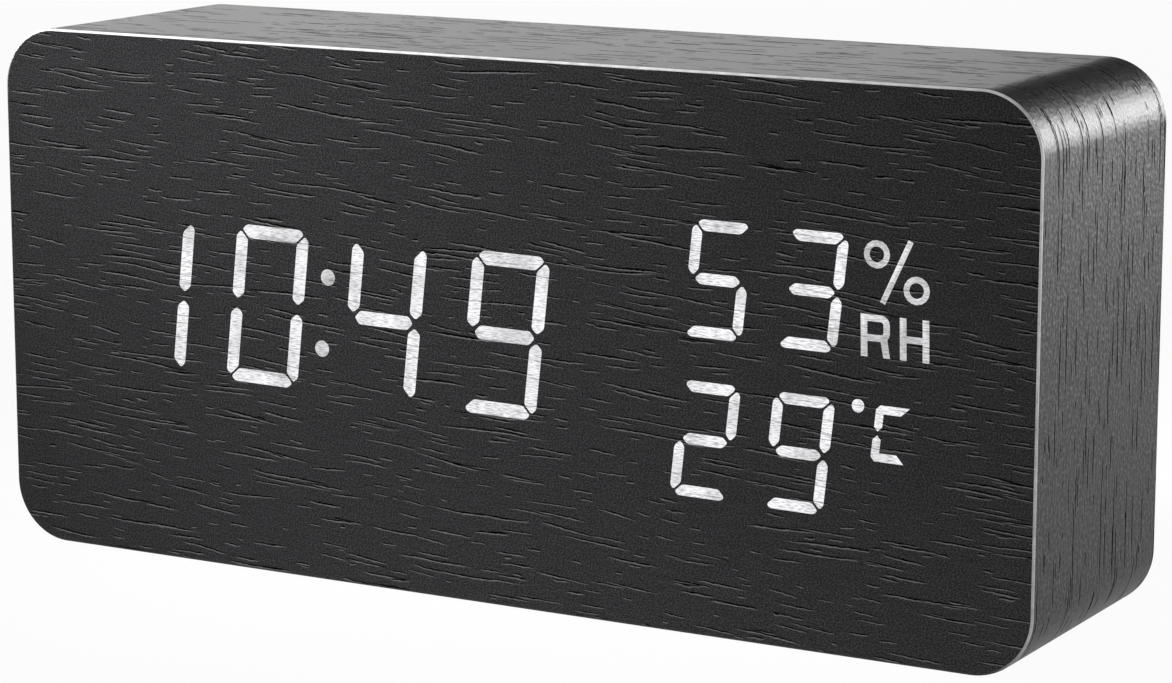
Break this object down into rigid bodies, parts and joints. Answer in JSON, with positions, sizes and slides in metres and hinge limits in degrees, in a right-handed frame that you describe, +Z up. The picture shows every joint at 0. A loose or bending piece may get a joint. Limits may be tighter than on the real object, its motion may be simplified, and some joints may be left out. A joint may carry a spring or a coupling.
{
  "type": "digital alarm clock",
  "caption": "Free-standing digital alarm clock: black wood-grain block whose time, humidity and temperature digits shine through the front; press buttons and a battery door at the back.",
  "frame": {"origin": "middle of the bottom face that the clock stands on", "axes": "+X to the right seen from the front, +Y from the front to the back, +Z up; the display faces -Y"},
  "size_m": [0.15, 0.039, 0.07],
  "materials": {
    "grain_film": "black embossed wood-grain film",
    "fibreboard": "raw medium-density fibreboard",
    "display_light": "milky diffuser, lit white",
    "reflector_white": "white moulded plastic",
    "circuit_board": "green solder mask",
    "chip_black": "moulded epoxy",
    "connector_white": "cream nylon",
    "cover_plastic": "finely textured black plastic",
    "button_plastic": "satin black plastic",
    "plunger_red": "moulded red plastic",
    "screw_steel": "zinc-plated steel",
    "contact_nickel": "nickel-plated spring steel",
    "cell_jacket": "plain printed jacket; aluminium stands for the cell's mean density",
    "capacitor_sleeve": "dark blue sleeve",
    "sensor_white": "slotted plastic cage",
    "ribbon_grey": "grey flat cable",
    "wire_red": "red insulation",
    "wire_black": "black insulation"
  },
  "bodies": {
    "case": {"front_veneer": "grain_film", "side_wrap": "grain_film", "rear_veneer": "grain_film", "case_core": "fibreboard", "display_diffuser": "display_light", "display_reflector": "reflector_white", "display_board": "circuit_board", "display_screw_1": "screw_steel", "display_screw_2": "screw_steel", "display_screw_3": "screw_steel", "display_screw_4": "screw_steel", "driver_chip": "chip_black", "display_header": "connector_white", "control_header": "connector_white", "rear_cover": "cover_plastic", "cover_screw_1": "screw_steel", "cover_screw_2": "screw_steel", "cover_screw_3": "screw_steel", "cover_screw_4": "screw_steel", "battery_cell_1": "cell_jacket", "battery_cell_2": "cell_jacket", "battery_cell_3": "cell_jacket", "battery_spring_1": "contact_nickel", "battery_spring_2": "contact_nickel", "battery_spring_3": "contact_nickel", "contact_positive": "contact_nickel", "contact_bridge_1": "contact_nickel", "contact_bridge_2": "contact_nickel", "contact_negative": "contact_nickel", "set_switch": "chip_black", "up_switch": "chip_black", "down_switch": "chip_black", "control_board": "circuit_board", "control_screw_1": "screw_steel", "control_screw_2": "screw_steel", "control_screw_3": "screw_steel", "control_screw_4": "screw_steel", "usb_shell": "contact_nickel", "usb_tongue": "chip_black", "buzzer": "chip_black", "microphone": "contact_nickel", "climate_sensor": "sensor_white", "coin_cell_holder": "chip_black", "coin_cell": "contact_nickel", "clock_chip": "chip_black", "crystal": "contact_nickel", "capacitor": "capacitor_sleeve", "ribbon_cable": "ribbon_grey", "battery_lead_red": "wire_red", "battery_lead_black": "wire_black"},
    "set_key": {"set_button": "button_plastic", "set_plunger": "plunger_red"},
    "up_key": {"up_button": "button_plastic", "up_plunger": "plunger_red"},
    "down_key": {"down_button": "button_plastic", "down_plunger": "plunger_red"},
    "door": {"battery_door": "cover_plastic"}
  },
  "joints": [
    {"name": "set_press", "type": "slide", "parent": "case", "child": "set_key", "axis": [0, -1, 0], "range_m": [0, 0.0005], "stiffness_N_per_m": 800},
    {"name": "up_press", "type": "slide", "parent": "case", "child": "up_key", "axis": [0, -1, 0], "range_m": [0, 0.0005], "stiffness_N_per_m": 800},
    {"name": "down_press", "type": "slide", "parent": "case", "child": "down_key", "axis": [0, -1, 0], "range_m": [0, 0.0005], "stiffness_N_per_m": 800},
    {"name": "door_hinge", "type": "hinge", "parent": "case", "child": "door", "pos_m": [-0.0369, 0.0165, 0.05185], "axis": [1, 0, 0], "range_deg": [0, 95]}
  ]
}
